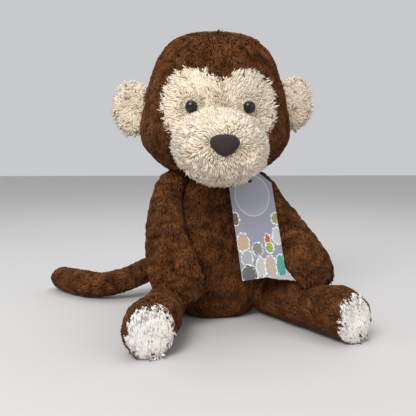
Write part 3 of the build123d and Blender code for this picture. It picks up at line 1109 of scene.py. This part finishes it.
@dataclass
class Arm:
    """One arm: a front and a back panel of brown pile, narrow at the shoulder and broad at the hand."""

    side: Side
    line: tuple[tuple[float, float, float], ...]
    across: Vector
    sizes: tuple[tuple[float, float], ...]
    crinkle: float = 8.5
    fill_inset: float = 4.2

    def build(self, inset: float = SKIN_INSET) -> bmesh.types.BMesh:
        """The arm's whole skin along its bent middle line, this far inside the tips of its pile."""
        points = [Vector(point) for point in self.line]
        rings = []
        for number, point in enumerate(points):
            way = points[min(number + 1, len(points) - 1)] - points[max(number - 1, 0)]
            width, depth = self.sizes[number]
            rings.append(Ring(point, self.across, way, width / 2 - inset, depth / 2 - inset))
        if inset > SKIN_INSET:
            rings = rings[1:-1]
        body = rounded(loft(rings, 24))
        roughen(body, 1.0, 16.0)
        roughen(body, 0.8, 8.0)
        return body

    def wave(self, points: np.ndarray) -> np.ndarray:
        """Crinkles in the pile across the arm, from -1 to 1."""
        way = np.array((Vector(self.line[-1]) - Vector(self.line[0])).normalized())
        sway = 2.2 * np.sin(points[:, 0] / 7.0) + 1.7 * np.sin(points[:, 1] / 5.0 + 1.0)
        return np.sin((points @ way + sway) * 2 * math.pi / self.crinkle)

    def ripple(self, points: np.ndarray) -> np.ndarray:
        """The share of the full lock length: longer on the crests."""
        return 1.0 + 0.16 * self.wave(points)

    def band(self, points: np.ndarray) -> np.ndarray:
        """The mean lock shade: lighter on the crests as painted light, darker between them as painted shade.
        """
        return 0.5 + 0.13 * self.wave(points)

    def dress(self, cloths: Cloths) -> None:
        """Cut the two panels, give them their pile and put them on their body."""
        word = self.side.word
        first, last = Vector(self.line[0]), Vector(self.line[-1])
        way = (last - first).normalized()
        front = self.across.cross(way) * (1 if self.across.cross(way).y < 0 else -1)
        whole = self.build()
        middle = Vector(self.line[len(self.line) // 2])
        for layer, sign in (("front", 1), ("back", -1)):
            panel = whole.copy()
            keep_side(panel, middle, front * sign)
            piece = new_piece(f"{word}_arm_{layer}_cover", panel)
            cloths.body.grow(piece, steady(tuple(way)), reach=self.ripple, tone=self.band)
            dress(piece, f"{word}_arm", [f"{word}_arm_{layer}_panel"], 0.6)
        whole.free()
        piece = new_piece(f"{word}_arm_fill", self.build(self.fill_inset))
        piece.data.materials.append(cloths.fibre)
        dress(piece, f"{word}_arm", [f"{word}_arm_stuffing"])


@dataclass
class Leg:
    """One leg: an inner and an outer panel of brown pile, and a pale sole."""

    side: Side
    turn: float
    sole_turn: float
    profile: tuple[tuple[float, float, float], ...] = (
        (-14, 14, 14),
        (-10, 26, 26),
        (0, 33, 33),
        (14, 36, 35),
        (35, 38, 37),
        (62, 40, 38),
        (84, 43, 42),
        (98, 45, 45.5),
    )
    end_profile: tuple[tuple[float, float, float], ...] = (
        (5, 44.5, 45.5),
        (0.5, 42, 44),
        (-2, 37, 40),
        (-2.5, 20, 22),
    )
    sole_profile: tuple[tuple[float, float], ...] = (
        (-1.5, 0.8),
        (-1, 0.95),
        (1, 0.97),
        (3.5, 0.86),
        (5, 0.62),
        (5.6, 0.3),
    )
    sole_half_width: float = 19.0
    sole_half_height: float = 20.6
    sole_distance: float = 109.0
    sole_lift: float = 3.2
    sole_tilt: float = 0.12
    floor_gap: float = 0.8
    root: Vector = field(default_factory=Vector)

    def __post_init__(self) -> None:
        """Work out the leg's directions."""
        self.root = Vector((self.side.value * 47, -16, 18.5))
        turn = math.radians(self.turn)
        self.way = Vector((math.sin(turn), -math.cos(turn), 0))
        turn = math.radians(self.turn + self.sole_turn)
        self.sole_way = Vector((math.sin(turn), -math.cos(turn), self.sole_tilt)).normalized()
        self.sole_middle = self.root + self.way * self.sole_distance + Vector((0, 0, self.sole_lift))
        self.level = UP.cross(self.way)

    def build(self) -> bmesh.types.BMesh:
        """The leg's whole skin, which turns to the sole's plane at its end."""
        rings = []
        for distance, width, height in self.profile:
            lift = 0.0
            if distance >= 0:
                lift = height / 2 + max(self.floor_gap, SKIN_INSET) - self.root.z
            middle = self.root + self.way * distance + Vector((0, 0, lift))
            turned = max(0.0, (distance - 60) / 50)
            way = self.way.lerp(self.sole_way, turned)
            rings.append(Ring(middle, self.level, way, width / 2 - SKIN_INSET, height / 2 - SKIN_INSET))
        for back, width, height in self.end_profile:
            middle = self.sole_middle - self.sole_way * back + Vector((0, 0, 0.6))
            half_width = width / 2 - SKIN_INSET
            half_height = height / 2 - SKIN_INSET
            rings.append(Ring(middle, self.level, self.sole_way, half_width, half_height))
        body = rounded(loft(rings, 28))
        roughen(body, 1.0, 16.0)
        roughen(body, 0.8, 8.0)
        return body

    def sole_growth(self, points: np.ndarray) -> np.ndarray:
        """Pile on the outer side of the sole alone."""
        depth = (points - np.array(self.sole_middle)) @ np.array(self.sole_way)
        return (depth > -0.6).astype(float)

    def dress(self, cloths: Cloths) -> None:
        """Cut the panels, give them and the sole their pile and put them on their body."""
        word = self.side.word
        whole = self.build()
        for layer, sign in (("left", 1), ("right", -1)):
            panel = whole.copy()
            keep_side(panel, self.root, self.level * sign)
            name = "outer" if layer == word else "inner"
            piece = new_piece(f"{word}_leg_{name}_cover", panel)
            cloths.body.grow(piece, steady(tuple(self.way + Vector((0, 0, -0.3)))))
            dress(piece, f"{word}_leg", [f"{word}_leg_{name}_panel"], 0.8)
        whole.free()
        rings = [
            Ring(
                self.sole_middle + self.sole_way * rise,
                self.level,
                self.sole_way,
                share * self.sole_half_width,
                share * self.sole_half_height,
            )
            for rise, share in self.sole_profile
        ]
        body = rounded(loft(rings, 28))
        roughen(body, 0.5, 10.0)
        piece = new_piece(f"{word}_sole_cover", body)
        cloths.sole.grow(piece, steady((0.25, 0.0, -1.0)), cover=self.sole_growth)
        dress(piece, f"{word}_leg", [f"{word}_sole"], 0.5)


@dataclass
class Tail:
    """The tail: one rolled panel of brown pile."""

    line: tuple[tuple[float, float, float], ...] = (
        (-4, 44, 36.5),
        (-12, 52, 36.5),
        (-27, 64.5, 37.5),
        (-46, 67, 37),
        (-65, 59, 34),
        (-83, 48, 28),
        (-103, 41, 20.5),
        (-126, 41, 15.4),
        (-150, 52, 15),
        (-169, 68.3, 15),
        (-181, 79.2, 15),
        (-188, 85.5, 15),
        (-191.5, 88.8, 15),
    )
    radii: tuple[float, ...] = (12, 13.5, 13.5, 13.5, 13.5, 13.5, 13.5, 13.8, 14.0, 14.0, 13.8, 11.5, 7.5)

    def dress(self, cloths: Cloths) -> None:
        """Build the tail, give it its pile and put it on its body."""
        points = [Vector(point) for point in self.line]
        rings = []
        for number, point in enumerate(points):
            way = points[min(number + 1, len(points) - 1)] - points[max(number - 1, 0)]
            radius = self.radii[number] - SKIN_INSET
            rings.append(Ring(point, UP, way, radius, radius))
        body = rounded(loft(rings, 20))
        roughen(body, 0.9, 14.0)
        roughen(body, 0.6, 8.0)
        piece = new_piece("tail_rolled_cover", body)
        line = np.array(self.line)

        def comb(places: np.ndarray) -> np.ndarray:
            """The pile lies towards the tip."""
            nearest = np.argmin(((places[:, None, :] - line[None, :-1, :]) ** 2).sum(2), axis=1)
            return line[nearest + 1] - line[nearest]

        cloths.body.grow(piece, comb)
        dress(piece, "tail", ["tail_cover"], 0.7)


@dataclass
class Eye:
    """One glossy domed eye."""

    side: Side
    radius: float = 6.0
    seat_x: float = 28.0
    seat_y: float = -57.0
    seat_z: float = 211.0

    def dress(self, material: bpy.types.Material) -> None:
        """Build the dome and put it on the head."""
        sign = self.side.value
        way = Vector((sign * 0.3, -0.95, 0.07)).normalized()
        seat = Vector((sign * self.seat_x, self.seat_y, self.seat_z))
        turn = way.to_track_quat("Z", "Y").to_matrix().to_4x4()
        flattened = Matrix.Diagonal((1.02, 1.02, 0.86, 1.0))
        body = bmesh.new()
        bmesh.ops.create_uvsphere(
            body,
            u_segments=40,
            v_segments=24,
            radius=self.radius * MM,
            matrix=Matrix.Translation((seat + way * 0.6) * MM) @ turn @ flattened,
        )
        piece = new_piece(f"{self.side.word}_eye_dome", body)
        piece.data.materials.append(material)
        dress(piece, "head", [f"{self.side.word}_eye"])


@dataclass
class Nose:
    """The padded nose: an arched top and a blunt lower point."""

    width: float = 28.5
    height: float = 20.5
    middle: Vector = field(default_factory=lambda: Vector((0, -92, 172)))
    outline: tuple[tuple[float, float], ...] = (
        (0, 0.98), (0.5, 0.93), (0.9, 0.62), (0.94, 0.15), (0.62, -0.48), (0.22, -0.93), (0, -1),
    )
    swell: tuple[tuple[float, float], ...] = (
        (0, 0.9),
        (2, 0.97),
        (5, 1.0),
        (7.3, 0.93),
        (9, 0.76),
        (10, 0.5),
        (10.4, 0.2),
    )

    def dress(self, material: bpy.types.Material) -> None:
        """Build the nose and put it on the head."""
        rings = [
            Ring(
                self.middle + FORWARD * depth,
                ACROSS,
                FORWARD,
                share * self.width / 2,
                share * self.height / 2,
            )
            for depth, share in self.swell
        ]
        body = loft(rings, 32)
        angles = [math.atan2(x, z) for x, z in self.outline]
        reaches = [math.hypot(x, z) for x, z in self.outline]
        for vert in body.verts:
            point = vert.co / MM - self.middle
            across, up = point.x / self.width * 2, point.z / self.height * 2
            shape = np.interp(math.atan2(abs(across), up), angles, reaches)
            vert.co.x *= shape
            vert.co.z = (self.middle.z + point.z * shape) * MM
        body = rounded(body)
        piece = new_piece("nose_pad", body)
        piece.data.materials.append(material)
        dress(piece, "head", ["nose"], 0.7)


@dataclass
class SwingTag:
    """The swing tag and the black loop that holds it."""

    top: Vector = field(default_factory=lambda: Vector((29.3, -47, 145.5)))
    bottom: Vector = field(default_factory=lambda: Vector((40.6, -69, 48.5)))
    across: Vector = field(default_factory=lambda: Vector((0.985, 0.1, 0.092)))
    loop_diameter: float = 1.2
    loop_length: float = 67.5
    route: tuple[tuple[float, float, float], ...] = (
        (18, -25, 135.5),
        (22, -34, 140),
        (27, -43.5, 146),
        (29.4, -50, 147),
        (29.9, -52.8, 142.1),
        (29.9, -48.2, 138.6),
        (27.5, -39, 138.3),
        (24, -30, 136.4),
        (21, -22.5, 134),
    )

    def build_loop(self) -> bpy.types.Object:
        """The loop as a smooth curve with a round section."""
        curve = bpy.data.curves.new("tag_loop_cord", "CURVE")
        curve.dimensions = "3D"
        spline = curve.splines.new("NURBS")
        spline.points.add(len(self.route) - 1)
        for point, place in zip(spline.points, self.route):
            point.co = (*(Vector(place) * MM), 1.0)
        spline.order_u = 3
        spline.use_endpoint_u = True
        spline.resolution_u = 10
        curve.bevel_depth = self.loop_diameter / 2 * MM
        curve.bevel_resolution = 3
        curve.use_fill_caps = True
        piece = bpy.data.objects.new("tag_loop_cord", curve)
        bpy.context.scene.collection.objects.link(piece)
        return piece

    def dress_loop(self) -> None:
        piece = self.build_loop()
        cord = ClothFinish("loop_cord", (0.022, 0.022, 0.024), (0.008, 0.008, 0.009), 2600.0, 0.6, woven=True)
        piece.data.materials.append(cord.material())
        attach(piece, "tag")
        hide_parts("tag_loop")
        tuple(Vector(self.route[0]) * MM)
        log.info("%s rides on tag", piece.name)

    def dress_card(self, nodes: dict[str, bpy.types.Object]) -> None:
        """Print the card."""
        up = (self.top - self.bottom).normalized()
        across = (self.across - up * self.across.dot(up)).normalized()
        paint(nodes["swing_tag"], CardFinish("tag_card", self.top, across, up).material())


def paint(node: bpy.types.Object, material: bpy.types.Material) -> None:
    """Give a carried-over CAD node its material."""
    if not node.material_slots:
        node.data.materials.append(material)
    for slot in node.material_slots:
        slot.material = material
    log.info("%s keeps its CAD shape, in %s", node.name, material.name)


@dataclass
class Insides:
    """What is inside the covers: fibre, the pellet bag, washers and the sewn-in label."""

    def dress(self, nodes: dict[str, bpy.types.Object], fibre: bpy.types.Material) -> None:
        """Paint every inner CAD node."""
        bag = PELLET_BAG.material()
        tape = LABEL_TAPE.material()
        washer = WASHER.material()
        for name, node in nodes.items():
            if name.endswith("_stuffing"):
                paint(node, fibre)
            elif name.endswith("_washer"):
                paint(node, washer)
        paint(nodes["bean_bag"], bag)
        paint(nodes["sewn_label"], tape)


@dataclass
class Studio:
    """The camera, a plain pale floor and soft light."""

    place: Vector = field(default_factory=lambda: Vector((-42.2, -488.3, 155.0)))
    shift: float = -0.1034
    turn: float = -4.0
    lens: float = 38.9
    lights: tuple[tuple[str, tuple[float, float, float], float, float], ...] = (
        ("key", (-0.55, -0.9, 1.15), 0.8, 14.0),
        ("fill", (0.95, -0.8, 0.6), 1.1, 1.8),
        ("top", (0.1, 0.25, 1.4), 1.0, 5.0),
    )

    def set_camera(self) -> None:
        """Make the camera."""
        data = bpy.data.cameras.new("camera")
        data.lens = self.lens
        data.sensor_width = 36.0
        data.clip_start = 0.01
        camera = bpy.data.objects.new("camera", data)
        camera.location = self.place * MM
        data.shift_y = self.shift
        camera.rotation_euler = (math.radians(90.0), 0.0, math.radians(self.turn))
        bpy.context.scene.collection.objects.link(camera)
        bpy.context.scene.camera = camera

    def set_stage(self) -> None:
        """Make the floor, the lights and the surrounding light."""
        body = bmesh.new()
        bmesh.ops.create_grid(body, x_segments=2, y_segments=2, size=6.0)
        floor = new_piece("floor", body)
        material, bench, shader = new_material("pale_floor")
        shader.inputs["Base Color"].default_value = (0.60, 0.59, 0.58, 1.0)
        shader.inputs["Roughness"].default_value = 0.9
        floor.data.materials.append(material)
        for name, place, size, power in self.lights:
            data = bpy.data.lights.new(name, "AREA")
            data.shape = "DISK"
            data.size = size
            data.energy = power
            lamp = bpy.data.objects.new(name, data)
            lamp.location = place
            aim = Vector((0.0, 0.0, 0.14)) - Vector(place)
            lamp.rotation_euler = aim.to_track_quat("-Z", "Y").to_euler()
            bpy.context.scene.collection.objects.link(lamp)
        world = bpy.data.worlds.new("soft_room")
        world.use_nodes = True
        background = world.node_tree.nodes["Background"]
        background.inputs["Color"].default_value = (0.80, 0.81, 0.83, 1.0)
        background.inputs["Strength"].default_value = 0.72
        bpy.context.scene.world = world
        bpy.context.scene.view_settings.view_transform = "Standard"


RIGHT_ARM = Arm(
    Side.RIGHT,
    (
        (-27, 3, 144), (-37, 0, 142), (-45, -4, 137), (-51, -10, 127), (-53.5, -19, 113), (-54, -30, 97),
        (-52.5, -38, 83), (-50, -45, 69), (-45.5, -51, 53), (-39, -56, 38), (-33, -60, 25),
    ),
    Vector((0.9, -0.43, 0)),
    (
        (16, 16), (23, 23), (29, 28), (31, 29), (34, 29), (38, 30),
        (43, 31), (49, 32), (54, 33), (53, 31), (37, 22),
    ),
)
LEFT_ARM = Arm(
    Side.LEFT,
    (
        (30, 2, 144), (37, 0, 142), (44, -4, 137), (51, -11, 127), (57.5, -21, 113), (65, -31, 99),
        (71.5, -40, 87), (78.5, -49, 75), (84.5, -58, 63), (89.5, -66, 51), (92.5, -71, 41.5),
    ),
    Vector((0.95, 0.3, 0)),
    (
        (15, 15), (20, 20), (27, 26), (29.5, 28), (31, 28.5), (35.5, 30),
        (40, 31), (44.5, 31.5), (47.5, 31), (45, 29), (30, 19),
    ),
)


def main() -> None:
    """Build and dress every piece in order."""
    nodes = frame["nodes"]
    studio = Studio()
    studio.set_camera()
    tag = SwingTag()
    tag.dress_loop()
    tag.dress_card(nodes)
    cloths = Cloths()
    Torso().dress(cloths)
    Head().dress(cloths)
    for side in Side:
        Ear(side).dress(cloths)
    for arm in (RIGHT_ARM, LEFT_ARM):
        arm.dress(cloths)
    Neck().dress(cloths)
    Leg(Side.RIGHT, -9.0, 18.0).dress(cloths)
    Leg(Side.LEFT, 36.0, -12.0).dress(cloths)
    Tail().dress(cloths)
    black = EYE_BLACK.material()
    for side in Side:
        Eye(side).dress(black)
    Nose().dress(NOSE_SATIN.material())
    Insides().dress(nodes, cloths.fibre)
    studio.set_stage()
    for mesh in [mesh for mesh in bpy.data.meshes if not mesh.users]:
        bpy.data.meshes.remove(mesh)


if __name__ == "__main__":
    main()
